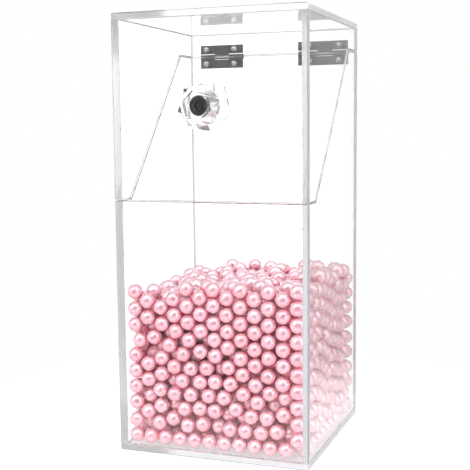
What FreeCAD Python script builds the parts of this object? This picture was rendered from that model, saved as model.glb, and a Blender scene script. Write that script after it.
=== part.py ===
"""Makeup brush holder: a clear sheet box with a slanted hinged lid, a faceted knob and a bed of pearls.

Millimetres. The origin is the middle of the base's underside, +X right, -Y to the front, +Z up.
"""
import FreeCAD, Part
import math
import os

V = FreeCAD.Vector

# Box
box_width = 100.0
box_depth = 100.0
sheet = 3.0
glue_line = 0.05
edge_break = 0.4

# Parting line between body and lid, as the side walls show it
body_front_height = 128.0
slant_rise = 76.5
lid_back_height = 15.5
front_flat = 14.0
back_flat = 20.0
bend_radius = 3.0
lid_gap = 0.3

# Hinges on the outside of the back
hinge_length = 26.0
hinge_inset = 7.5
leaf_reach = 6.6
leaf_thickness = 0.8
leaf_seat = 0.05
knuckle_radius = 1.4
knuckle_count = 3
knuckle_gap = 0.25
pin_radius = 0.7
pin_fixed_clearance = 0.015
pin_running_clearance = 0.04

# Hinge screws and nuts
screw_spacing = 17.0
screw_rise = 4.0
screw_radius = 1.0
screw_head_radius = 1.8
screw_hole_clearance = 0.1
screw_head_clearance = 0.05
screw_end = 0.2
fastener_sides = 10
nut_radius = 1.8
nut_end_radius = 1.1
nut_foot_height = 0.9
nut_height = 2.2
nut_cap = 0.6
nut_bore_clearance = 0.03
nut_seat = 0.05

# Knob on the middle of the lid's front
knob_sides = 6
knob_turn = -17.0
knob_flange_radius = 13.0
knob_flange_height = 1.6
knob_flare_height = 2.6
knob_waist_radius = 8.6
knob_back_height = 4.6
knob_girdle_radius = 11.0
knob_girdle_height = 1.2
knob_crown_height = 4.2
knob_table_radius = 7.0
knob_seat = 0.05
insert_radius = 4.8
insert_length = 9.0
insert_clearance = 0.03
knob_screw_radius = 2.0
knob_screw_head_radius = 3.8
knob_screw_head_height = 2.2
knob_screw_head_break = 0.8
knob_screw_reach = 7.5
knob_screw_clearance = 0.1
knob_screw_slot = 1.0

# Bed of pearls
bed_height = 79.0
bed_tilt = 3.0
bed_clearance = 0.3
pearl_diameter = 8.0
pearl_clearance = 0.12
pearl_sides = 6
pearl_columns = 6
pearl_rows = 4
wall_pearl_pitch = 12.4
wall_pearl_rise = 10.75
wall_pearl_stand = 5.4
wall_pearl_root = 0.5

# Places that follow from the sizes above
right = box_width / 2
front = -box_depth / 2
back = box_depth / 2
back_rim = body_front_height + slant_rise
box_height = back_rim + lid_back_height
floor_top = sheet + glue_line
wall_top = box_height - sheet - glue_line
inner_right = right - sheet
inner_front = front + sheet
inner_back = back - sheet
slant_start = front + front_flat
slant_end = back - back_flat
slant = math.atan2(slant_rise, slant_end - slant_start)
leaf_face = back + leaf_seat
axis_y = leaf_face + knuckle_radius
axis_z = back_rim + lid_gap / 2
hinge_centre = right - hinge_inset - hinge_length / 2
knob_z = (body_front_height + box_height) / 2
pearl_radius = pearl_diameter / 2
core_right = inner_right - bed_clearance - wall_pearl_stand
core_back = inner_back - bed_clearance - wall_pearl_stand
bed_low = floor_top + bed_clearance


def block(low, high):
    """A box between two corners."""
    size = V(*high) - V(*low)
    return Part.makeBox(size.x, size.y, size.z, V(*low))


def break_edges(shape, chosen):
    """Chamfers the edges whose middle point passes the test."""
    edges = [e for e in shape.Edges if chosen(e.CenterOfMass)]
    return shape.makeChamfer(edge_break, edges)


def near(a, b):
    return abs(a - b) < 1e-6


def along_y(radius, length, x, y, z):
    """A round bar from y towards the back."""
    return Part.makeCylinder(radius, length, V(x, y, z), V(0, 1, 0))


def ring(radius, sides, turn, x, y, z):
    """Corners of a regular polygon round an axis that runs front to back, one at the top before its turn."""
    points = []
    for k in range(sides):
        angle = math.radians(90 + turn + 360 / sides * k)
        points.append(V(x + radius * math.cos(angle), y, z + radius * math.sin(angle)))
    return points


def faceted(rings):
    """A solid with flat facets from ring to ring, closed by the first ring and the last."""
    facets = [rings[0], rings[-1]]
    for low, high in zip(rings, rings[1:]):
        for k in range(len(low)):
            facets.append([low[k - 1], low[k], high[k], high[k - 1]])
    faces = [Part.Face(Part.makePolygon(points + points[:1])) for points in facets]
    return Part.Solid(Part.Shell(faces))


def closed_face(edges):
    return Part.Face(Part.Wire(Part.__sortEdges__(edges)))


def polyline(points):
    return [Part.makeLine(a, b) for a, b in zip(points, points[1:])]


def rim(offset):
    """The parting line on a side wall, moved towards the lid by offset: level, bend, slant, bend, level."""
    half = math.tan(slant / 2)
    along = V(0, math.cos(slant), math.sin(slant))
    low_radius = bend_radius - offset
    high_radius = bend_radius + offset
    low = V(0, slant_start - offset * half, body_front_height + offset)
    high = V(0, slant_end - offset * half, back_rim + offset)
    low_in = low - V(0, low_radius * half, 0)
    low_out = low + along * (low_radius * half)
    high_in = high - along * (high_radius * half)
    high_out = high + V(0, high_radius * half, 0)
    bow = V(0, math.sin(slant / 2), -math.cos(slant / 2))
    low_middle = low_in + V(0, 0, low_radius) + bow * low_radius
    high_middle = high_out - V(0, 0, high_radius) - bow * high_radius
    start = V(0, inner_front + glue_line, low.z)
    end = V(0, inner_back - glue_line, high.z)
    edges = [
        Part.makeLine(start, low_in),
        Part.Arc(low_in, low_middle, low_out).toShape(),
        Part.makeLine(low_out, high_in),
        Part.Arc(high_in, high_middle, high_out).toShape(),
        Part.makeLine(high_out, end),
    ]
    return edges, start, end


def side_wall(offset, level, x):
    """A side sheet between the parting line and a level edge, from x towards the right."""
    edges, start, end = rim(offset)
    corners = [end, V(0, end.y, level), V(0, start.y, level), start]
    wall = closed_face(edges + polyline(corners)).extrude(V(sheet, 0, 0))
    wall.translate(V(x, 0, 0))
    faces_x = (x, x + sheet)

    def on_rim(p):
        on_face = near(p.x, faces_x[0]) or near(p.x, faces_x[1])
        return on_face and start.y + 1e-3 < p.y < end.y - 1e-3 and not near(p.z, level)

    return break_edges(wall, on_rim)


def cross_wall(outer, inner, low, high, rim_z):
    """A front or back sheet over the full width, with its free rim and its outer corners broken."""
    wall = block((-right, min(outer, inner), low), (right, max(outer, inner), high))
    return break_edges(wall, lambda p: near(p.z, rim_z) or near(abs(p.x), right) and near(p.y, outer))


def flat_sheet(low, outer):
    """A full square sheet, with the edges round its outer face and its corners broken."""
    plate = block((-right, front, low), (right, back, low + sheet))
    corner = lambda p: near(abs(p.x), right) and near(abs(p.y), back)
    return break_edges(plate, lambda p: near(p.z, outer) or corner(p))


def hinge_centres():
    return (-hinge_centre, hinge_centre)


def screw_places(rise):
    """The axes of the four hinge screws that lie at one height above or below the pin."""
    places = []
    for centre in hinge_centres():
        for step in (-screw_spacing / 2, screw_spacing / 2):
            places.append((centre + step, axis_z + rise))
    return places


def drill_hinge_holes(panel, rise):
    radius = screw_radius + screw_hole_clearance
    holes = [along_y(radius, sheet, x, inner_back, z) for x, z in screw_places(rise)]
    return panel.cut(Part.makeCompound(holes))


def hinge_leaf(centre, own_knuckles, bore):
    """An upper leaf: a plate on the panel, rolled into every other knuckle round the pin."""
    outer = leaf_face + leaf_thickness
    half = hinge_length / 2
    plate_low = axis_z + knuckle_radius + knuckle_gap
    leaf = block((-half, leaf_face, plate_low), (half, outer, axis_z + leaf_reach))
    pitch = hinge_length / knuckle_count
    for index in own_knuckles:
        start = -half + index * pitch + (knuckle_gap / 2 if index > 0 else 0)
        end = -half + (index + 1) * pitch - (knuckle_gap / 2 if index < knuckle_count - 1 else 0)
        barrel = Part.makeCylinder(knuckle_radius, end - start, V(start, axis_y, axis_z), V(1, 0, 0))
        web = block((start, leaf_face, axis_z), (end, outer, plate_low))
        leaf = leaf.fuse([barrel, web])
    leaf = leaf.cut(Part.makeCylinder(bore, hinge_length, V(-half, axis_y, axis_z), V(1, 0, 0)))
    hole = screw_radius + screw_hole_clearance
    mouth = screw_head_radius + screw_head_clearance
    for x in (-screw_spacing / 2, screw_spacing / 2):
        sink = Part.makeCone(hole, mouth, leaf_thickness, V(x, leaf_face, axis_z + screw_rise), V(0, 1, 0))
        leaf = leaf.cut(sink)
    leaf = leaf.removeSplitter()
    leaf.translate(V(centre, 0, 0))
    return leaf


def hinge_pin(centre):
    start = V(centre - hinge_length / 2, axis_y, axis_z)
    return Part.makeCylinder(pin_radius, hinge_length, start, V(1, 0, 0))


def turned_below(leaf, centre):
    """A lower leaf is an upper one turned half round about a line through the pin's middle."""
    turned = leaf.copy()
    turned.rotate(V(centre, axis_y, axis_z), V(0, 1, 0), 180)
    return turned


def fastener(x, z, rings):
    """A faceted body round a hinge screw's axis, through rings given by radius and place."""
    return faceted([ring(radius, fastener_sides, 0, x, y, z) for radius, y in rings])


def hinge_screw(x, z):
    """A countersunk screw, its head level with the leaf's outer face."""
    tip = inner_back - nut_seat - nut_height + nut_cap + screw_end
    return fastener(x, z, (
        (screw_radius, tip),
        (screw_radius, leaf_face),
        (screw_head_radius, leaf_face + leaf_thickness),
    ))


def hinge_nut(x, z):
    """A cap nut inside the panel: a straight foot, a cone to its closed end and a blind bore."""
    seat = inner_back - nut_seat
    nut = fastener(x, z, (
        (nut_radius, seat),
        (nut_radius, seat - nut_foot_height),
        (nut_end_radius, seat - nut_height),
    ))
    bore_radius = screw_radius + nut_bore_clearance
    return nut.cut(fastener(x, z, ((bore_radius, seat), (bore_radius, seat - nut_height + nut_cap))))


def group(maker, places):
    return Part.makeCompound([maker(x, z) for x, z in places])


def knob_facets(turn, *rings):
    """A six-sided body round the knob's axis, through rings given by radius and distance from the panel."""
    return faceted([ring(radius, knob_sides, turn, 0, front - out, knob_z) for radius, out in rings])


def cut_knob():
    """The knob: a flange on the panel, a waist to hold it by, a narrow girdle and a crown with a flat table.

    Two six-sided bodies, half a side apart, meet in the small facets above the waist.
    """
    half_side = 180 / knob_sides
    flat_share = math.cos(math.radians(half_side))
    flange_out = knob_seat + knob_flange_height
    waist_out = flange_out + knob_flare_height
    girdle_out = waist_out + knob_back_height
    crown_out = girdle_out + knob_girdle_height
    table_out = crown_out + knob_crown_height
    main = knob_facets(
        knob_turn,
        (knob_waist_radius / flat_share, waist_out),
        (knob_girdle_radius, girdle_out),
        (knob_girdle_radius, crown_out),
        (knob_table_radius / flat_share, table_out),
    )
    turned = knob_facets(
        knob_turn + half_side,
        (knob_waist_radius, waist_out),
        (knob_girdle_radius / flat_share, girdle_out),
        (knob_girdle_radius / flat_share, crown_out),
        (knob_table_radius, table_out),
    )
    flange = knob_facets(
        knob_turn + half_side,
        (knob_flange_radius, knob_seat),
        (knob_flange_radius, flange_out),
        (knob_waist_radius, waist_out),
    )
    socket = along_y(insert_radius + insert_clearance, insert_length + insert_clearance, 0,
                     front - knob_seat - insert_length - insert_clearance, knob_z)
    return main.common(turned).fuse(flange).removeSplitter().cut(socket)


def knob_sleeve():
    start = front - knob_seat - insert_length
    sleeve = along_y(insert_radius, insert_length, 0, start, knob_z)
    return sleeve.cut(along_y(knob_screw_radius + insert_clearance, insert_length, 0, start, knob_z))


def knob_bolt():
    """A round-headed slotted screw from inside the lid's front panel into the sleeve."""
    head_low = inner_front + knob_seat
    tip = front - knob_seat - knob_screw_reach
    head = along_y(knob_screw_head_radius, knob_screw_head_height, 0, head_low, knob_z)
    rim_edges = [e for e in head.Edges if near(e.CenterOfMass.y, head_low + knob_screw_head_height)]
    head = head.makeChamfer(knob_screw_head_break, rim_edges)
    slot_low = (-knob_screw_slot / 2, head_low + knob_screw_head_height / 2, knob_z - knob_screw_head_radius)
    slot_high = (knob_screw_slot / 2, head_low + knob_screw_head_height, knob_z + knob_screw_head_radius)
    shank = along_y(knob_screw_radius, head_low - tip, 0, tip, knob_z)
    return head.cut(block(slot_low, slot_high)).fuse(shank).removeSplitter()


def bed_top(x):
    """Height of the pearls' bed across the box: it lies higher on the right."""
    return bed_height + bed_tilt * x / inner_right


def pearl_centres():
    """Staggered places of the pearls that lie on the bed, each on one of its flat sides."""
    rise = pearl_clearance + pearl_radius * math.cos(math.pi / pearl_sides)
    pitch_x = 2 * inner_right / (pearl_columns + 0.5)
    pitch_y = 2 * inner_back / pearl_rows
    centres = []
    for row in range(pearl_rows):
        shift = 0.5 if row % 2 == 0 else 1.0
        for column in range(pearl_columns):
            x = -inner_right + (column + shift) * pitch_x
            centres.append(V(x, inner_front + (row + 0.5) * pitch_y, bed_top(x) + rise))
    return centres


def loose_pearl(centre):
    """A pearl with flat facets, its corners on the round of a real one."""
    rings = []
    for k in range(1, pearl_sides, 2):
        polar = math.pi * k / pearl_sides
        y = centre.y - pearl_radius * math.cos(polar)
        radius = pearl_radius * math.sin(polar)
        rings.append(ring(radius, pearl_sides, 180 / pearl_sides, centre.x, y, centre.z))
    return faceted(rings)


def wall_pearl(place, turn):
    """The outer half of a pearl at a wall, rooted in the bed's core and turned to that wall."""
    root = ring(pearl_radius, pearl_sides, 0, 0, wall_pearl_root, 0)
    tip = ring(pearl_radius / 2, pearl_sides, 0, 0, -wall_pearl_stand, 0)
    half = faceted([root, tip])
    half.rotate(V(0, 0, 0), V(0, 0, 1), turn)
    half.translate(place)
    return half


def wall_places(half, row):
    """Places of one row of pearls along a wall, every other row half a pitch aside."""
    count = int(2 * (half - pearl_radius) / wall_pearl_pitch) + 1 - row % 2
    return [(k - (count - 1) / 2) * wall_pearl_pitch for k in range(count)]


def wall_pearls():
    """The pearls that show through the four walls, in staggered rows up to the bed's lower edge."""
    first = bed_low + pearl_radius
    last = bed_height - bed_tilt - pearl_radius
    pearls = []
    for row in range(int((last - first) / wall_pearl_rise) + 1):
        z = first + row * wall_pearl_rise
        for x in wall_places(core_right, row):
            pearls.append(wall_pearl(V(x, -core_back, z), 0))
            pearls.append(wall_pearl(V(x, core_back, z), 180))
        for y in wall_places(core_back, row):
            pearls.append(wall_pearl(V(core_right, y, z), 90))
            pearls.append(wall_pearl(V(-core_right, y, z), 270))
    return pearls


def pearl_fill():
    """The bed as one solid: a core under the loose pearls, and the outermost pearls set into its sides."""
    outline = [
        V(-core_right, -core_back, bed_low),
        V(core_right, -core_back, bed_low),
        V(core_right, -core_back, bed_top(core_right)),
        V(-core_right, -core_back, bed_top(-core_right)),
        V(-core_right, -core_back, bed_low),
    ]
    core = closed_face(polyline(outline)).extrude(V(0, 2 * core_back, 0))
    return core.fuse(wall_pearls())


def loose_pearls():
    return Part.makeCompound([loose_pearl(centre) for centre in pearl_centres()])


def body_nodes():
    nodes = {
        "base_panel": flat_sheet(0, 0),
        "body_front_panel": cross_wall(front, inner_front, floor_top, body_front_height, body_front_height),
        "body_left_panel": side_wall(0, floor_top, -right),
        "body_right_panel": side_wall(0, floor_top, inner_right),
        "pearl_bed": pearl_fill(),
        "top_pearls": loose_pearls(),
        "body_hinge_screws": group(hinge_screw, screw_places(-screw_rise)),
        "body_hinge_nuts": group(hinge_nut, screw_places(-screw_rise)),
    }
    back_wall = cross_wall(back, inner_back, floor_top, back_rim, back_rim)
    nodes["body_back_panel"] = drill_hinge_holes(back_wall, -screw_rise)
    return nodes


def lid_nodes():
    low = body_front_height + lid_gap
    back_low = back_rim + lid_gap
    front_wall = cross_wall(front, inner_front, low, wall_top, low)
    knob_hole = along_y(knob_screw_radius + knob_screw_clearance, sheet, 0, front, knob_z)
    back_wall = cross_wall(back, inner_back, back_low, wall_top, back_low)
    return {
        "lid_top_panel": flat_sheet(box_height - sheet, box_height),
        "lid_front_panel": front_wall.cut(knob_hole),
        "lid_back_panel": drill_hinge_holes(back_wall, screw_rise),
        "lid_left_panel": side_wall(lid_gap, wall_top, -right),
        "lid_right_panel": side_wall(lid_gap, wall_top, inner_right),
        "lid_hinge_screws": group(hinge_screw, screw_places(screw_rise)),
        "lid_hinge_nuts": group(hinge_nut, screw_places(screw_rise)),
        "knob": cut_knob(),
        "knob_insert": knob_sleeve(),
        "knob_screw": knob_bolt(),
    }


def hinge_nodes():
    nodes = {}
    odd = range(1, knuckle_count, 2)
    even = range(0, knuckle_count, 2)
    for side, centre in zip(("left", "right"), hinge_centres()):
        upper = hinge_leaf(centre, odd, pin_radius + pin_running_clearance)
        lower = hinge_leaf(centre, even, pin_radius + pin_fixed_clearance)
        nodes[side + "_hinge_upper_leaf"] = upper
        nodes[side + "_hinge_lower_leaf"] = turned_below(lower, centre)
        nodes[side + "_hinge_pin"] = hinge_pin(centre)
    return nodes


os.makedirs("parts", exist_ok=True)
nodes = {**body_nodes(), **lid_nodes(), **hinge_nodes()}
for name, shape in nodes.items():
    shape.exportStep("parts/" + name + ".step")
    state = "valid" if shape.isValid() else "NOT VALID"
    print(name, len(shape.Solids), "solids", round(shape.Volume, 2), "mm3", state)
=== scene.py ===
import math

import bpy
import numpy as np
from bpy.props import FloatProperty, FloatVectorProperty, IntProperty, PointerProperty
from mathutils import Matrix, Vector


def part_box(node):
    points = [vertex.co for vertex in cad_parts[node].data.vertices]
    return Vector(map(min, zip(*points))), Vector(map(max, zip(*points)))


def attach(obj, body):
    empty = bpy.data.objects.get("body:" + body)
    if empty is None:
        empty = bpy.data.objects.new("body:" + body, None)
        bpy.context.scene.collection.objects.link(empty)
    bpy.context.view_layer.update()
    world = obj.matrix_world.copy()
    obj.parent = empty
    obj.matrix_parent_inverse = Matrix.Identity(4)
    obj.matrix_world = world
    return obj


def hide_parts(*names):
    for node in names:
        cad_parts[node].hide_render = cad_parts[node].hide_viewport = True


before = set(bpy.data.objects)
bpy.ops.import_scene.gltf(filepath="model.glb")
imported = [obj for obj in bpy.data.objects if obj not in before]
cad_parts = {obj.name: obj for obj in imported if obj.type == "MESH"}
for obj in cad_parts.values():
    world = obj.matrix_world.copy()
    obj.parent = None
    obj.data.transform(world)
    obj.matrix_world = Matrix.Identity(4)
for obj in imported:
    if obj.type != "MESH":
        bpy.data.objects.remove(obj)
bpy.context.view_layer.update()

bl_info = {
    "name": "Pearl Brush Box",
    "version": (1, 0, 0),
    "blender": (4, 5, 0),
    "location": "View3D > Sidebar > Brush Box",
    "description": "Dresses the clear brush box: panels, pearls, knob, hinges, fasteners and a pale studio",
    "category": "Object",
}

SHEETS = (
    ("flat_acrylic", (0, 0, 1), ("base_panel", "lid_top_panel")),
    ("cross_acrylic", (0, 1, 0),
     ("body_front_panel", "body_back_panel", "lid_front_panel", "lid_back_panel")),
    ("side_acrylic", (1, 0, 0),
     ("body_left_panel", "body_right_panel", "lid_left_panel", "lid_right_panel")),
)
HINGE_PIECES = tuple(
    side + piece
    for side in ("left_hinge_", "right_hinge_")
    for piece in ("lower_leaf", "upper_leaf", "pin")
)
MM = 0.001

# Lays an upright fillet down along x
LAID = Matrix(((0, 0, 1, 0), (1, 0, 0, 0), (0, 1, 0, 0), (0, 0, 0, 1)))
TO_BACK = Matrix.Rotation(math.radians(-90), 3, "X")
TO_FRONT = Matrix.Rotation(math.radians(90), 3, "X")

WHITE = (1, 1, 1, 1)
ACRYLIC_IOR = 1.49
ARRIS_SLOPE = math.sqrt(0.5)
ROUND_SIDES = 24
NUT_SIDES = 6
SMOOTH_ANGLE = math.radians(35)
FLOOR_SIDES = 96
FLOOR_DROP = 0.3 * MM

# A pearl's corners stand out by this factor, and settled pearls keep as far apart
PEARL_ROUNDING = 1.02
# Share of the room up to the poured height that the pearls take up
PEARL_SHARE = 0.57
# Share of an overlap by which one push moves each of two pearls
PUSH_SHARE = 0.275

# Outer and inner angle of the room's bright and dark patches, in degrees
SURROUND_SPAN = (90, 65)
WALL_SPAN = (55, 32)
WINDOW_SPAN = (28, 16)
LAMP_SPAN = (80, 40)
FRONT_FLAG_SPAN = (16, 9)
SIDE_FLAG_SPAN = (26, 14)
LENS_SPAN = (50, 24)

# Turn of the windows from the wall's middle, in degrees, and rise of the lamp for each step to the front
WINDOW_TURN = 70
LAMP_RISE = 0.3


def pearl_well():
    """Lowest and highest corner of the hollow between the body's walls."""
    low = Vector((
        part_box("body_left_panel")[1].x,
        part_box("body_front_panel")[1].y,
        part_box("base_panel")[1].z,
    ))
    high = Vector((
        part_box("body_right_panel")[0].x,
        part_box("body_back_panel")[0].y,
        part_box("body_front_panel")[1].z,
    ))
    return low, high


class PearlSettings(bpy.types.PropertyGroup):
    """The loose pearls in the lower part of the box."""

    diameter: FloatProperty(name="Diameter", description="Width of one pearl", default=8 * MM, unit="LENGTH")
    fill: FloatProperty(name="Fill", default=86 * MM, unit="LENGTH",
                        description="Height that the pearls' middles reach halfway along the front")
    tilt: FloatProperty(name="Tilt", description="How much higher the pearls reach on the right",
                        default=3 * MM, unit="LENGTH")
    hollow: FloatProperty(name="Hollow", default=5 * MM, unit="LENGTH",
                          description="How much lower the pearls reach halfway back on the left")
    seed: IntProperty(name="Seed", description="Start of the pearls' chance places", default=2)
    pale: FloatVectorProperty(name="Pale Pink", description="Colour of the palest pearls",
                              subtype="COLOR", size=4, default=(1.0, 0.615, 0.69, 1))
    deep: FloatVectorProperty(name="Deep Pink", description="Colour of the deepest pearls",
                              subtype="COLOR", size=4, default=(1.0, 0.515, 0.59, 1))


class AcrylicSettings(bpy.types.PropertyGroup):
    """The clear sheet of the panels and the clear knob."""

    edge_tint: FloatVectorProperty(name="Edge Tint", description="Colour of a long way through the sheet",
                                   subtype="COLOR", size=4, default=(0.66, 0.66, 0.71, 1))
    # Painted shade: this dark grey on the arrises stands in for the dark lines that refraction draws along
    # the cut edges
    arris_shade: FloatVectorProperty(name="Arris", description="Colour of the narrow bevels along the cut edges",
                               subtype="COLOR", size=4, default=(0.22, 0.22, 0.23, 1))
    density: FloatProperty(name="Density", description="How fast the tint builds up, for each metre of sheet",
                           default=5.5)
    knob_density: FloatProperty(name="Knob Density", description="How fast the tint builds up in the knob",
                                default=45.0)
    smudge: FloatProperty(name="Smudge", description="Roughness of the faint marks on the polish",
                          default=0.03, subtype="FACTOR")
    cut_edge: FloatProperty(name="Cut Edge", description="Roughness of the sheet's cut edges", default=0.3,
                            subtype="FACTOR")
    weld: FloatProperty(name="Weld", description="Width of the cement's fillet in the inner corners",
                        default=0.45 * MM, unit="LENGTH")
    cement: FloatVectorProperty(name="Cement", description="Colour of the cement in the inner corners",
                                subtype="COLOR", size=4, default=(0.78, 0.78, 0.80, 1))


class MetalSettings(bpy.types.PropertyGroup):
    """The hinges, their screws and nuts, and the knob's sleeve and screw."""

    hinge: FloatVectorProperty(name="Hinge Steel", description="Colour of the hinge leaves and pins",
                               subtype="COLOR", size=4, default=(0.36, 0.36, 0.37, 1))
    fastener: FloatVectorProperty(name="Fastener Steel", description="Colour of the screws and nuts",
                                  subtype="COLOR", size=4, default=(0.62, 0.62, 0.64, 1))
    knob_core: FloatVectorProperty(name="Knob Metal", description="Colour of the knob's sleeve and screw",
                                   subtype="COLOR", size=4, default=(0.10, 0.10, 0.105, 1))


class FastenerSettings(bpy.types.PropertyGroup):
    """The hinge screws, their cap nuts and the sleeve in the knob."""

    spacing: FloatProperty(name="Spacing", description="From one screw of a hinge leaf to the other",
                           default=17 * MM, unit="LENGTH")
    shank: FloatProperty(name="Shank", description="Radius of a hinge screw's shank",
                         default=1 * MM, unit="LENGTH")
    sink: FloatProperty(name="Sink", description="Depth of a hinge screw's countersunk head",
                        default=0.8 * MM, unit="LENGTH")
    recess: FloatProperty(name="Recess", description="Width of the cross recess in a screw's head",
                          default=0.5 * MM, unit="LENGTH")
    nut_foot: FloatProperty(name="Nut Foot", description="Height of a cap nut's six-sided foot",
                            default=0.9 * MM, unit="LENGTH")
    ribs: IntProperty(name="Ribs", description="Number of ribs round the knob's sleeve", default=26)
    rib_depth: FloatProperty(name="Rib Depth", description="How far the ribs stand out", default=0.3 * MM,
                             unit="LENGTH")
    bore: FloatProperty(name="Bore", description="Radius of the sleeve's hole",
                        default=2.1 * MM, unit="LENGTH")


class StageSettings(bpy.types.PropertyGroup):
    """The floor, the light and the camera."""

    camera_place: FloatVectorProperty(name="Camera", description="Where the camera stands",
                                      subtype="TRANSLATION", unit="LENGTH",
                                      default=(169.62 * MM, -472.96 * MM, 163.27 * MM))
    camera_aim: FloatVectorProperty(name="Aim", description="The point in the middle of the picture",
                                    subtype="TRANSLATION", unit="LENGTH",
                                    default=(-4.69 * MM, 0, 106.68 * MM))
    camera_roll: FloatProperty(name="Roll", description="Turn of the camera about its own line of sight",
                               subtype="ANGLE", default=math.radians(-0.58))
    lens: FloatProperty(name="Lens", description="Focal length on a 36 mm sensor", default=72.67)
    floor_radius: FloatProperty(name="Floor", description="Where the pale floor has faded out", default=0.2,
                                unit="LENGTH")
    back_light: FloatProperty(name="Back Light", description="Brightness of the white wall behind the box",
                              default=1.6)
    window_light: FloatProperty(name="Windows", description="Brightness of the windows beside the white wall",
                                default=1.3)
    key_light: FloatProperty(name="Key Light", default=3.45,
                             description="Brightness of the lamp round and above the camera")
    flag_level: FloatProperty(name="Front Flags", description="Brightness of what the front face mirrors",
                              default=0.2)
    side_level: FloatProperty(name="Side Flag", description="Brightness of what the right face mirrors",
                              default=0.42)
    lens_level: FloatProperty(name="Lens Flag", default=0.3,
                              description="Brightness round the lens, as the pearls mirror it")
    surround: FloatProperty(name="Surround", description="Brightness of the room round the white wall",
                            default=0.4)


class BoxSettings(bpy.types.PropertyGroup):
    """All settings of the brush box."""

    pearls: PointerProperty(type=PearlSettings)
    acrylic: PointerProperty(type=AcrylicSettings)
    metal: PointerProperty(type=MetalSettings)
    fasteners: PointerProperty(type=FastenerSettings)
    stage: PointerProperty(type=StageSettings)


def settings():
    """The scene's own settings of the brush box."""
    return bpy.context.scene.brush_box


def feed_inputs(tree, made, inputs):
    """Gives a node its inputs; each is either a value or the socket that feeds it."""
    for name, value in inputs.items():
        if isinstance(value, bpy.types.NodeSocket):
            tree.links.new(value, made.inputs[name])
        else:
            made.inputs[name].default_value = value


def node(tree, kind, inputs=None, **options):
    """Adds a node with its options and inputs."""
    made = tree.nodes.new(kind)
    for name, value in options.items():
        setattr(made, name, value)
    feed_inputs(tree, made, inputs or {})
    return made


def new_material(name):
    """A material with its Principled shader, and the place on the piece that its patterns read."""
    material = bpy.data.materials.new(name)
    material.use_nodes = True
    tree = material.node_tree
    place = node(tree, "ShaderNodeTexCoord").outputs["Object"]
    return material, tree, tree.nodes["Principled BSDF"], place


def stretched(tree, place, scale):
    """The same place, drawn out for a pattern with a direction."""
    return node(tree, "ShaderNodeMapping", {"Vector": place, "Scale": scale}).outputs["Vector"]


def noise(tree, place, scale, detail, roughness):
    """Soft chance values between 0 and 1 over a place."""
    pattern = {"Vector": place, "Scale": scale, "Detail": detail, "Roughness": roughness}
    return node(tree, "ShaderNodeTexNoise", pattern).outputs["Fac"]


def spread(tree, value, low, high, out_low, out_high):
    """Maps a value from one range to another, held at both ends."""
    limits = {"Value": value, "From Min": low, "From Max": high, "To Min": out_low, "To Max": out_high}
    return node(tree, "ShaderNodeMapRange", limits).outputs["Result"]


def maths(tree, operation, a, b):
    """The result of an operation on two values."""
    return node(tree, "ShaderNodeMath", {0: a, 1: b}, operation=operation).outputs["Value"]


def dot(tree, a, b):
    """How far one direction runs along another."""
    return node(tree, "ShaderNodeVectorMath", {0: a, 1: b}, operation="DOT_PRODUCT").outputs["Value"]


def between(tree, share, a, b):
    """A colour between two others."""
    return node(tree, "ShaderNodeMix", {0: share, 6: a, 7: b}, data_type="RGBA").outputs[2]


def bump(tree, height, depth, strength):
    """Normals of a relief whose full height is depth."""
    relief = {"Height": height, "Distance": depth, "Strength": strength}
    return node(tree, "ShaderNodeBump", relief).outputs["Normal"]


def edge_masks(tree, across):
    """Two masks of a sheet whose broad faces lie across an axis: its cut edges, and their arrises, where
    painted shade goes.
    """
    facing = node(tree, "ShaderNodeTexCoord").outputs["Normal"]
    slope = maths(tree, "ABSOLUTE", dot(tree, facing, across), 0.0)
    off_arris = maths(tree, "ABSOLUTE", maths(tree, "SUBTRACT", slope, ARRIS_SLOPE), 0.0)
    cut = spread(tree, slope, 0.4, 0.6, 1.0, 0.0)
    arris_shade = spread(tree, off_arris, 0.05, 0.15, 1.0, 0.0)
    return cut, arris_shade


def clear_acrylic(name, density, across=None):
    """Polished acrylic: clear, faintly smudged, duller on cut edges, with painted shade on the arrises of a
    sheet's cut edges, tinted along a long way through it.
    """
    look = settings().acrylic
    material, tree, shader, place = new_material(name)
    marks = noise(tree, place, scale=42.0, detail=6.0, roughness=0.62)
    dull = spread(tree, marks, 0.52, 0.75, 0.0, look.smudge)
    clear = WHITE
    if across:
        cut, arris_shade = edge_masks(tree, across)
        dull = maths(tree, "ADD", dull, maths(tree, "MULTIPLY", cut, look.cut_edge))
        # Painted shade: the arrises take a dark grey in place of the dark lines that refraction draws along
        # the cut edges
        clear = between(tree, arris_shade, clear, look.arris_shade)
    feed_inputs(tree, shader, {
        "Base Color": clear,
        "Roughness": dull,
        "IOR": ACRYLIC_IOR,
        "Transmission Weight": 1.0,
    })
    depth = node(tree, "ShaderNodeVolumeAbsorption", {"Color": look.edge_tint, "Density": density})
    tree.links.new(depth.outputs["Volume"], tree.nodes["Material Output"].inputs["Volume"])
    return material


def cloudy_cement():
    """Set cement in the inner corners: a greyish, half-clear line with fine bubbles."""
    look = settings().acrylic
    material, tree, shader, place = new_material("cloudy_cement")
    bubbles = noise(tree, place, scale=1400.0, detail=4.0, roughness=0.6)
    milky = spread(tree, bubbles, 0.4, 0.65, 0.0, 1.0)
    feed_inputs(tree, shader, {
        "Base Color": between(tree, milky, look.cement, (0.95, 0.95, 0.95, 1)),
        "Roughness": spread(tree, bubbles, 0.3, 0.7, 0.2, 0.5),
        "IOR": ACRYLIC_IOR,
        "Transmission Weight": 0.7,
    })
    return material


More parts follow.
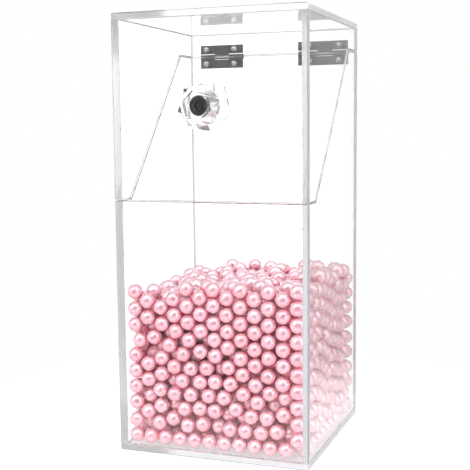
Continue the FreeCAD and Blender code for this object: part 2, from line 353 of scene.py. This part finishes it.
def pearl_lustre():
    """Pink pearl: each one a little paler or deeper, with a fine mottled sheen under a clear coat."""
    look = settings().pearls
    material, tree, shader, place = new_material("pearl_lustre")
    tone = node(tree, "ShaderNodeAttribute", attribute_name="pearl_tone").outputs["Fac"]
    mottle = noise(tree, place, scale=520.0, detail=4.0, roughness=0.6)
    own_share = maths(tree, "MULTIPLY", tone, 0.75)
    mottle_share = maths(tree, "MULTIPLY", mottle, 0.25)
    shade = maths(tree, "ADD", own_share, mottle_share)
    feed_inputs(tree, shader, {
        "Base Color": between(tree, shade, look.deep, look.pale),
        "Metallic": 0.55,
        "Roughness": spread(tree, mottle, 0.3, 0.7, 0.15, 0.23),
        "Subsurface Weight": 1.0,
        "Subsurface Radius": (1.0, 0.5, 0.55),
        "Subsurface Scale": 4 * MM,
        "Coat Weight": 1.0,
        "Coat Roughness": 0.08,
        "Coat IOR": 1.7,
    })
    return material


def brushed_steel(name, colour):
    """Steel with fine grinding marks along the hinge and a duller, stained patch here and there."""
    material, tree, shader, place = new_material(name)
    along_hinge = stretched(tree, place, (120, 9000, 9000))
    grain = noise(tree, along_hinge, scale=1.0, detail=3.0, roughness=0.6)
    stain = noise(tree, place, scale=190.0, detail=4.0, roughness=0.6)
    dulling = 0.72
    dull = tuple(dulling * c for c in colour[:3]) + (1,)
    grain_share = maths(tree, "MULTIPLY", grain, 0.6)
    stain_share = maths(tree, "MULTIPLY", stain, 0.4)
    worn = maths(tree, "ADD", grain_share, stain_share)
    feed_inputs(tree, shader, {
        "Base Color": between(tree, spread(tree, worn, 0.35, 0.65, 0.0, 1.0), dull, colour),
        "Metallic": 1.0,
        "Roughness": spread(tree, worn, 0.3, 0.7, 0.22, 0.42),
        "Normal": bump(tree, grain, 0.02 * MM, 0.5),
    })
    return material


def finish_nodes(names, material):
    """Gives CAD pieces their finish."""
    for name in names:
        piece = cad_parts[name]
        piece.data.materials.clear()
        piece.data.materials.append(material)


def deselect_all():
    """Leaves edit mode with nothing selected."""
    if bpy.context.object and bpy.context.object.mode != "OBJECT":
        bpy.ops.object.mode_set(mode="OBJECT")
    bpy.ops.object.select_all(action="DESELECT")


def round_bar(sides, radius, low, high):
    """A bar on the upright axis through the origin, with its place in its mesh."""
    deselect_all()
    bpy.ops.mesh.primitive_cylinder_add(vertices=sides, radius=radius, depth=high - low,
                                        location=(0, 0, (low + high) / 2))
    bpy.ops.object.transform_apply(location=True, rotation=False, scale=False)
    return bpy.context.object


def pick_faces(model, test):
    """Opens the model for editing with only those faces selected whose middle and normal pass a test."""
    bpy.ops.object.mode_set(mode="EDIT")
    bpy.ops.mesh.select_mode(type="FACE")
    bpy.ops.mesh.select_all(action="DESELECT")
    bpy.ops.object.mode_set(mode="OBJECT")
    for face in model.data.polygons:
        face.select = test(face.center, face.normal)
    bpy.ops.object.mode_set(mode="EDIT")


def pick_top(model):
    """Selects the flat upper end of an upright bar."""
    top = max(corner.co.z for corner in model.data.vertices)
    pick_faces(model, lambda middle, normal: normal.z > 0.9 and middle.z > top - 1e-6)


def drawn_up(rise, share=1.0):
    """Draws the selected end on by a rise, wider or narrower by a share."""
    bpy.ops.mesh.extrude_region_move(TRANSFORM_OT_translate={"value": (0, 0, rise)})
    bpy.ops.transform.resize(value=(share, share, 1), center_override=(0, 0, 0))


def joined(pieces):
    """Makes one object of several."""
    deselect_all()
    for piece in pieces:
        piece.select_set(True)
    bpy.context.view_layer.objects.active = pieces[0]
    if len(pieces) > 1:
        bpy.ops.object.join()
    return pieces[0]


def cut_away(model, cutter):
    """Cuts one shape out of another."""
    cut = model.modifiers.new("cut", "BOOLEAN")
    cut.object = cutter
    cut.solver = "EXACT"
    deselect_all()
    bpy.context.view_layer.objects.active = model
    bpy.ops.object.modifier_apply(modifier=cut.name)
    bpy.data.objects.remove(cutter)


def cross_screw(look, head, length):
    """A countersunk screw with a cross recess, the face of its head at the origin and its tip below."""
    cone = 0.85 * look.sink
    rim = 0.15 * look.sink
    face_share = 0.94
    arm_length = 1.25 * head
    arm_depth = 1.1 * look.sink
    model = round_bar(ROUND_SIDES, look.shank, -length, -look.sink)
    pick_top(model)
    drawn_up(cone, head / look.shank)
    drawn_up(rim, face_share)
    for across in ((arm_length, look.recess), (look.recess, arm_length)):
        deselect_all()
        bpy.ops.mesh.primitive_cube_add(size=1)
        arm = bpy.context.object
        arm.scale = (*across, arm_depth)
        bpy.ops.object.transform_apply(location=False, rotation=False, scale=True)
        cut_away(model, arm)
    return model


def cap_nut(look, radius, height):
    """A cap nut that stands on the origin: a six-sided foot with its corners turned off, under a dome."""
    straight = 0.7 * look.nut_foot
    turned_off = 0.3 * look.nut_foot
    end_share = 0.88
    dome_radius = 0.76 * radius
    dome_root = 0.6 * look.nut_foot
    dome_foot = 1.1 * look.nut_foot
    dome_angles = [math.radians(angle) for angle in (0, 18, 36, 54, 70, 83)]
    foot = round_bar(NUT_SIDES, radius, 0, straight)
    pick_top(foot)
    drawn_up(turned_off, end_share)
    dome = round_bar(ROUND_SIDES, dome_radius, dome_root, dome_foot)
    pick_top(dome)
    for low, high in zip(dome_angles, dome_angles[1:]):
        drawn_up((height - dome_foot) * (math.sin(high) - math.sin(low)), math.cos(high) / math.cos(low))
    return joined([foot, dome])


def ribbed_sleeve(look, radius, length):
    """The knob's sleeve, standing on the origin: ribs between plain ends, and a bore with a turned mouth."""
    sides = 2 * look.ribs
    plain = radius - look.rib_depth
    end_share = 0.95
    mouth = 1.25 * look.bore
    bore_depth = 0.8 * length
    model = round_bar(sides, plain, 0, length - look.rib_depth)
    rib_low = 0.12 * length
    rib_high = 0.86 * length
    bpy.ops.object.mode_set(mode="EDIT")
    for level in (rib_low, rib_high):
        bpy.ops.mesh.select_all(action="SELECT")
        bpy.ops.mesh.bisect(plane_co=(0, 0, level), plane_no=(0, 0, 1))

    def on_rib(middle, normal):
        step = math.floor(math.atan2(middle.y, middle.x) / math.tau * sides)
        return abs(normal.z) < 0.5 and rib_low < middle.z < rib_high and step % 2 == 0

    pick_faces(model, on_rib)
    bpy.ops.mesh.extrude_faces_move(TRANSFORM_OT_shrink_fatten={"value": look.rib_depth})
    bpy.ops.object.mode_set(mode="OBJECT")
    pick_top(model)
    drawn_up(look.rib_depth, end_share)
    bpy.ops.mesh.inset(thickness=end_share * plain - mouth)
    drawn_up(look.bore - mouth, look.bore / mouth)
    drawn_up(-bore_depth)
    return model


def fit_piece(name, model, turn, places, material):
    """A piece with one copy of the model, turned, at each place."""
    deselect_all()
    copies = []
    for place in places:
        copy = bpy.data.objects.new(name, model.data.copy())
        copy.data.transform(Matrix.Translation(place) @ turn.to_4x4())
        bpy.context.scene.collection.objects.link(copy)
        copies.append(copy)
    piece = joined(copies)
    bpy.ops.object.shade_smooth_by_angle(angle=SMOOTH_ANGLE)
    piece.data.materials.clear()
    piece.data.materials.append(material)
    return piece


def near_pairs(centres, reach):
    """Index pairs of the centres that lie within reach of each other."""
    square = sum((axis[:, None] - axis[None, :]) ** 2 for axis in centres.T)
    return np.nonzero(np.triu(square < reach ** 2, 1))


def push_apart(centres, first, second, width):
    """Eases the two pearls of each overlapping pair apart by the same amount."""
    gap = centres[second] - centres[first]
    distance = np.linalg.norm(gap, axis=1)
    overlap = np.clip(width - distance, 0, None)
    shift = gap * (PUSH_SHARE * overlap / np.maximum(distance, 1e-9))[:, None]
    count = len(centres)
    for axis in range(3):
        centres[:, axis] += np.bincount(second, shift[:, axis], count)
        centres[:, axis] -= np.bincount(first, shift[:, axis], count)


def settle_pearls(low, high, width, height, chance):
    """Centres of pearls poured in loosely, shaken down and outwards ever more gently, and left to rest."""
    room = (high[0] - low[0]) * (high[1] - low[1]) * height
    count = int(PEARL_SHARE * room / (math.pi / 6 * width ** 3))
    apart = PEARL_ROUNDING * width
    open_top = 1.0
    floor = low + apart / 2
    ceiling = np.array([high[0], high[1], open_top]) - apart / 2
    highest = low[2] + 1.2 * height
    centres = chance.uniform(floor, [ceiling[0], ceiling[1], highest], (count, 3))
    middle = (low + high)[:2] / 2
    reach = 1.3 * width
    core = 4 * width
    fall = 0.0625 * width
    fall_fade = 0.001
    drift = 0.02 * width
    jolt = 0.04 * width
    pair_life = 6
    loosening, shaking, resting = 60, 400, 450
    for step in range(loosening + shaking + resting):
        if step % pair_life == 0:
            first, second = near_pairs(centres, reach)
        done = (step - loosening) / shaking
        if 0 <= done < 1:
            outward = centres[:, :2] - middle
            near_wall = np.abs(outward) > core
            centres[:, 2] -= fall * fall_fade ** done
            centres[:, :2] += drift * (1 - done) * np.sign(outward) * near_wall
            centres += chance.normal(0, jolt * (1 - done) ** 2, centres.shape)
        pushes = 6 if done < 1 else 4
        for _ in range(pushes):
            push_apart(centres, first, second, apart)
            np.clip(centres, floor, ceiling, out=centres)
    return centres


def one_pearl(width):
    """Corners and faces of one pearl at the origin: a cube, cut in nine on each side and drawn to a ball."""
    deselect_all()
    bpy.ops.mesh.primitive_cube_add(size=width)
    bpy.ops.object.mode_set(mode="EDIT")
    bpy.ops.mesh.select_all(action="SELECT")
    bpy.ops.mesh.subdivide(number_cuts=2)
    bpy.ops.transform.tosphere(value=1)
    bpy.ops.object.mode_set(mode="OBJECT")
    model = bpy.context.object
    corners = np.array([v.co for v in model.data.vertices])
    corners *= PEARL_ROUNDING * width / 2 / np.linalg.norm(corners, axis=1)[:, None]
    faces = np.array([f.vertices[:] for f in model.data.polygons])
    bpy.data.objects.remove(model)
    return corners, faces


def chance_turns(count, chance):
    """Rotation matrices that turn each pearl its own way."""
    q = chance.normal(size=(count, 4))
    w, x, y, z = (q / np.linalg.norm(q, axis=1)[:, None]).T
    rows = [
        [1 - 2 * (y * y + z * z), 2 * (x * y - w * z), 2 * (x * z + w * y)],
        [2 * (x * y + w * z), 1 - 2 * (x * x + z * z), 2 * (y * z - w * x)],
        [2 * (x * z - w * y), 2 * (y * z + w * x), 1 - 2 * (x * x + y * y)],
    ]
    return np.moveaxis(np.array(rows), 2, 0)


def pearl_piece(name, centres, width, chance, material):
    """One piece that holds a copy of the pearl at each centre."""
    corners, faces = one_pearl(width)
    count = len(centres)
    turned = np.einsum("nij,kj->nki", chance_turns(count, chance), corners)
    places = (turned + centres[:, None, :]).reshape(-1, 3)
    offsets = np.arange(count)[:, None, None] * len(corners)
    loops = (faces[None] + offsets).reshape(-1, 4)
    mesh = bpy.data.meshes.new(name)
    mesh.from_pydata(places, [], loops)
    mesh.polygons.foreach_set("use_smooth", np.ones(len(loops), bool))
    tone = mesh.attributes.new("pearl_tone", "FLOAT", "POINT")
    tone.data.foreach_set("value", np.repeat(chance.uniform(0, 1, count), len(corners)))
    mesh.materials.append(material)
    piece = bpy.data.objects.new(name, mesh)
    bpy.context.scene.collection.objects.link(piece)
    return piece


class BRUSHBOX_OT_pour_pearls(bpy.types.Operator):
    """Pour the loose pearls into the lower part of the box"""

    bl_idname = "brushbox.pour_pearls"
    bl_label = "Pour Pearls"

    def execute(self, context):
        look = settings().pearls
        chance = np.random.default_rng(look.seed)
        low, high = (np.array(corner) for corner in pearl_well())
        poured = 1.15 * look.fill
        centres = settle_pearls(low, high, look.diameter, poured, chance)
        across, along = ((centres - low) / (high - low)).T[:2]
        dip = np.sin(math.pi * np.clip(along, 0, 1)) * (1 - across)
        surface = look.fill + look.tilt * (2 * across - 1) - look.hollow * dip
        kept = centres[centres[:, 2] < surface]
        piece = pearl_piece("pearls", kept, look.diameter, chance, pearl_lustre())
        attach(piece, "body")
        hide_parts("pearl_bed", "top_pearls")
        return {"FINISHED"}


class BRUSHBOX_OT_polish_panels(bpy.types.Operator):
    """Give the panels of the body and the lid their polished acrylic"""

    bl_idname = "brushbox.polish_panels"
    bl_label = "Polish Panels"

    def execute(self, context):
        for name, across, panels in SHEETS:
            material = clear_acrylic(name, settings().acrylic.density, across)
            finish_nodes(panels, material)
        return {"FINISHED"}


def weld_fillet(width, length):
    """A three-sided bar that stands in the corner of the x and y planes."""
    deselect_all()
    bpy.ops.mesh.primitive_cube_add(size=1, location=(0.5 * width, 0.5 * width, 0.5 * length))
    fillet = bpy.context.object
    fillet.scale = (width, width, length)
    bpy.ops.object.transform_apply(location=True, rotation=False, scale=True)
    bpy.ops.object.mode_set(mode="EDIT")
    bpy.ops.mesh.select_all(action="SELECT")
    bpy.ops.mesh.bisect(plane_co=(width, 0, 0), plane_no=(1, 1, 0), use_fill=True, clear_outer=True)
    bpy.ops.object.mode_set(mode="OBJECT")
    return fillet


def weld_frame(name, low, high, rises, level, upright, material):
    """The fillets of four upright corners and of the sheet at a level that closes them below or above."""
    look = settings().acrylic
    corners = ((low.x, low.y), (high.x, low.y), (high.x, high.y), (low.x, high.y))
    clear = 0.02 * MM
    fillets = []
    for k, (x, y) in enumerate(corners):
        turn = Matrix.Rotation(math.radians(90 * k), 4, "Z")
        inwards = turn @ Vector((clear, clear, 0))
        for lying, length in ((False, rises[k]), (True, high.x - low.x)):
            fillet = weld_fillet(look.weld, length - 2 * look.weld)
            stand = LAID if lying else Matrix.Identity(4)
            along = turn @ stand @ Vector((0, 0, look.weld))
            fillet.data.transform(Matrix.Translation(Vector((x, y, clear)) + inwards + along) @ turn @ stand)
            fillets.append(fillet)
    piece = joined(fillets)
    piece.name = name
    piece.data.transform(Matrix.Translation((0, 0, level)) @ upright)
    piece.data.materials.append(material)
    return piece


class BRUSHBOX_OT_weld_corners(bpy.types.Operator):
    """Run the cement's fillets along the inner corners of the body and the lid"""

    bl_idname = "brushbox.weld_corners"
    bl_label = "Weld Corners"

    def execute(self, context):
        cement = cloudy_cement()
        low, high = pearl_well()
        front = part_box("body_front_panel")[1].z - low.z
        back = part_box("body_back_panel")[1].z - low.z
        rises = (front, front, back, back)
        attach(weld_frame("body_welds", low, high, rises, low.z, Matrix.Identity(4), cement), "body")
        low = Vector((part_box("lid_left_panel")[1].x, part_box("lid_front_panel")[1].y, 0))
        high = Vector((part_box("lid_right_panel")[0].x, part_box("lid_back_panel")[0].y, 0))
        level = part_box("lid_top_panel")[0].z
        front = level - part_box("lid_front_panel")[0].z
        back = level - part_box("lid_back_panel")[0].z
        rises = (back, back, front, front)
        over = Matrix.Rotation(math.pi, 4, "X")
        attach(weld_frame("lid_welds", low, high, rises, level, over, cement), "lid")
        return {"FINISHED"}


class BRUSHBOX_OT_polish_knob(bpy.types.Operator):
    """Give the knob its clear facets, its ribbed sleeve and the metal of its screw"""

    bl_idname = "brushbox.polish_knob"
    bl_label = "Polish Knob"

    def execute(self, context):
        finish_nodes(("knob",), clear_acrylic("knob_clear", settings().acrylic.knob_density))
        core = brushed_steel("knob_core_metal", settings().metal.knob_core)
        finish_nodes(("knob_screw",), core)
        low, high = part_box("knob_insert")
        model = ribbed_sleeve(settings().fasteners, (high.x - low.x) / 2, high.y - low.y)
        seat = ((low.x + high.x) / 2, high.y, (low.z + high.z) / 2)
        piece = fit_piece("knob_sleeve", model, TO_FRONT, [seat], core)
        bpy.data.objects.remove(model)
        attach(piece, "lid")
        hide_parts("knob_insert")
        return {"FINISHED"}


class BRUSHBOX_OT_finish_hinges(bpy.types.Operator):
    """Give the hinge leaves and pins their brushed steel"""

    bl_idname = "brushbox.finish_hinges"
    bl_label = "Finish Hinges"

    def execute(self, context):
        finish_nodes(HINGE_PIECES, brushed_steel("hinge_brushed", settings().metal.hinge))
        return {"FINISHED"}


def screw_axes(node_name):
    """Where the axes of a node's four screws or nuts run: two to a hinge leaf, at the node's own height."""
    low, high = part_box(node_name)
    axes = []
    for leaf in ("left_hinge_upper_leaf", "right_hinge_upper_leaf"):
        middle = sum(corner.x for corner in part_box(leaf)) / 2
        for step in (-0.5, 0.5):
            axes.append((middle + step * settings().fasteners.spacing, (low.z + high.z) / 2))
    return axes


class BRUSHBOX_OT_fit_fasteners(bpy.types.Operator):
    """Fit the cross-head screws and the cap nuts of the hinges"""

    bl_idname = "brushbox.fit_fasteners"
    bl_label = "Fit Fasteners"

    def execute(self, context):
        look = settings().fasteners
        steel = brushed_steel("fastener_bright", settings().metal.fastener)
        low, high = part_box("body_hinge_screws")
        screw = cross_screw(look, (high.z - low.z) / 2, high.y - low.y)
        face = high.y
        low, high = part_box("body_hinge_nuts")
        nut = cap_nut(look, (high.z - low.z) / 2, high.y - low.y)
        for body in ("body", "lid"):
            for kind, model, turn, y in (("screws", screw, TO_BACK, face), ("nuts", nut, TO_FRONT, high.y)):
                replaced = body + "_hinge_" + kind
                places = [(x, y, z) for x, z in screw_axes(replaced)]
                piece = fit_piece(body + "_" + kind, model, turn, places, steel)
                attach(piece, body)
                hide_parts(replaced)
        for model in (screw, nut):
            bpy.data.objects.remove(model)
        return {"FINISHED"}


def pale_floor(radius):
    """White paper near the box that fades into the white of the room."""
    deselect_all()
    glow_share = 0.6
    glow_level = 1.15
    fade_start = 0.35 * radius
    bpy.ops.mesh.primitive_circle_add(vertices=FLOOR_SIDES, radius=radius, fill_type="NGON",
                                      location=(0, 0, -FLOOR_DROP))
    floor = bpy.context.object
    floor.name = "pale_floor"
    material, tree, shader, place = new_material("floor_paper")
    distance = node(tree, "ShaderNodeVectorMath", {0: place}, operation="LENGTH").outputs["Value"]
    paper = noise(tree, place, scale=300.0, detail=5.0, roughness=0.5)
    feed_inputs(tree, shader, {
        "Base Color": between(tree, paper, (0.90, 0.90, 0.90, 1), (0.94, 0.94, 0.94, 1)),
        "Roughness": 0.9,
        "Specular IOR Level": 0.1,
    })
    glow = node(tree, "ShaderNodeEmission", {"Color": WHITE, "Strength": glow_level})
    lit = node(tree, "ShaderNodeMixShader", {0: glow_share})
    fade = node(tree, "ShaderNodeMixShader", {0: spread(tree, distance, fade_start, radius, 0.0, 1.0)})
    tree.links.new(shader.outputs["BSDF"], lit.inputs[1])
    tree.links.new(glow.outputs["Emission"], lit.inputs[2])
    tree.links.new(lit.outputs["Shader"], fade.inputs[1])
    tree.links.new(node(tree, "ShaderNodeBsdfTransparent").outputs["BSDF"], fade.inputs[2])
    tree.links.new(fade.outputs["Shader"], tree.nodes["Material Output"].inputs["Surface"])
    floor.data.materials.append(material)


def studio_camera(stage):
    """The camera, turned from its place to its aim and rolled about its line of sight."""
    data = bpy.data.cameras.new("studio_camera")
    data.lens = stage.lens
    data.sensor_fit = "HORIZONTAL"
    data.clip_start = 0.01
    camera = bpy.data.objects.new("studio_camera", data)
    bpy.context.scene.collection.objects.link(camera)
    sight = Vector(stage.camera_aim) - Vector(stage.camera_place)
    turn = sight.to_track_quat("-Z", "Y").to_matrix() @ Matrix.Rotation(stage.camera_roll, 3, "Z")
    camera.matrix_world = Matrix.Translation(stage.camera_place) @ turn.to_4x4()
    bpy.context.scene.camera = camera


def lobe(tree, way, axis, span):
    """1 within the span's inner angle from an axis, 0 beyond its outer one."""
    outer, inner = (math.cos(math.radians(angle)) for angle in span)
    return spread(tree, dot(tree, way, axis), outer, inner, 0.0, 1.0)


def towards(tree, level, share, other):
    """A level drawn towards another one by a share."""
    return node(tree, "ShaderNodeMix", {0: share, 2: level, 3: other}).outputs[0]


def front_mirror(stage, height):
    """Where the front face sends the camera's sight from a height on its middle line."""
    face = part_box("body_front_panel")[0].y
    sight = Vector((0, face, height)) - Vector(stage.camera_place)
    sight.y = -sight.y
    return sight.normalized()


def white_room(stage):
    """Lights the scene from a room that the camera itself sees as plain white.

    A bright wall stands behind the box in a darker surround, with a window on either side, and a wide lamp
    hangs round and above the camera. Only mirrored light meets the dark flags, which keep the front and right
    faces clear and give each pearl the spot in its middle.
    """
    world = bpy.data.worlds.new("white_room")
    world.use_nodes = True
    bpy.context.scene.world = world
    tree = world.node_tree
    way = node(tree, "ShaderNodeTexCoord").outputs["Generated"]
    front = (Vector(stage.camera_place) - Vector(stage.camera_aim)).normalized()
    side = front.cross(Vector((0, 0, 1))).normalized()
    up = side.cross(front)
    windows = [Matrix.Rotation(math.radians(turn), 3, "Z") @ -front for turn in (-WINDOW_TURN, WINDOW_TURN)]
    lamp = (front + LAMP_RISE * up).normalized()
    patches = [(-front, SURROUND_SPAN, stage.surround), (-front, WALL_SPAN, stage.back_light)]
    patches += [(window, WINDOW_SPAN, stage.window_light) for window in windows]
    patches += [(lamp, LAMP_SPAN, stage.key_light)]
    level = 1.0
    for axis, span, brightness in patches:
        level = towards(tree, level, lobe(tree, way, axis, span), brightness)
    path = node(tree, "ShaderNodeLightPath").outputs
    unscattered = maths(tree, "LESS_THAN", path["Diffuse Depth"], 0.5)
    reflected = maths(tree, "GREATER_THAN", path["Glossy Depth"], 0.5)
    mirrored = maths(tree, "MULTIPLY", unscattered, reflected)
    flags = [
        (front_mirror(stage, settings().pearls.fill / 2), FRONT_FLAG_SPAN, stage.flag_level),
        (front_mirror(stage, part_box("left_hinge_pin")[0].z), FRONT_FLAG_SPAN, stage.flag_level),
        (Vector((front.x, -front.y, -front.z)), SIDE_FLAG_SPAN, stage.side_level),
        (front, LENS_SPAN, stage.lens_level),
    ]
    for axis, span, brightness in flags:
        share = maths(tree, "MULTIPLY", lobe(tree, way, axis, span), mirrored)
        level = towards(tree, level, share, brightness)
    level = towards(tree, level, path["Is Camera Ray"], 1.0)
    tree.links.new(level, tree.nodes["Background"].inputs["Strength"])
    tree.nodes["Background"].inputs["Color"].default_value = WHITE


class BRUSHBOX_OT_set_stage(bpy.types.Operator):
    """Lay the pale floor, light the white room and place the camera"""

    bl_idname = "brushbox.set_stage"
    bl_label = "Set Stage"

    def execute(self, context):
        stage = settings().stage
        pale_floor(stage.floor_radius)
        studio_camera(stage)
        white_room(stage)
        scene = context.scene
        scene.view_settings.view_transform = "Standard"
        # Light has to pass many clear faces, one behind the other
        scene.cycles.max_bounces = 128
        scene.cycles.transmission_bounces = 128
        scene.cycles.glossy_bounces = 64
        scene.cycles.diffuse_bounces = 24
        return {"FINISHED"}


OPERATORS = (
    BRUSHBOX_OT_pour_pearls,
    BRUSHBOX_OT_polish_panels,
    BRUSHBOX_OT_weld_corners,
    BRUSHBOX_OT_polish_knob,
    BRUSHBOX_OT_finish_hinges,
    BRUSHBOX_OT_fit_fasteners,
    BRUSHBOX_OT_set_stage,
)


class BRUSHBOX_PT_pieces(bpy.types.Panel):
    """The brush box's pieces, in the order in which they are made"""

    bl_label = "Brush Box"
    bl_space_type = "VIEW_3D"
    bl_region_type = "UI"
    bl_category = "Brush Box"

    def draw(self, context):
        for operator in OPERATORS:
            self.layout.operator(operator.bl_idname)
        for group in ("pearls", "acrylic", "metal", "fasteners", "stage"):
            values = getattr(context.scene.brush_box, group)
            box = self.layout.box()
            box.label(text=group.capitalize())
            for name in values.bl_rna.properties.keys():
                if name not in ("rna_type", "name"):
                    box.prop(values, name)


GROUPS = (PearlSettings, AcrylicSettings, MetalSettings, FastenerSettings, StageSettings, BoxSettings)
CLASSES = GROUPS + OPERATORS + (BRUSHBOX_PT_pieces,)


def register():
    for made in CLASSES:
        bpy.utils.register_class(made)
    bpy.types.Scene.brush_box = PointerProperty(type=BoxSettings)


def unregister():
    del bpy.types.Scene.brush_box
    for made in reversed(CLASSES):
        bpy.utils.unregister_class(made)


def main():
    """Makes the brush box."""
    register()
    bpy.ops.brushbox.pour_pearls()
    bpy.ops.brushbox.polish_panels()
    bpy.ops.brushbox.weld_corners()
    bpy.ops.brushbox.polish_knob()
    bpy.ops.brushbox.finish_hinges()
    bpy.ops.brushbox.fit_fasteners()
    bpy.ops.brushbox.set_stage()


if __name__ == "__main__":
    main()
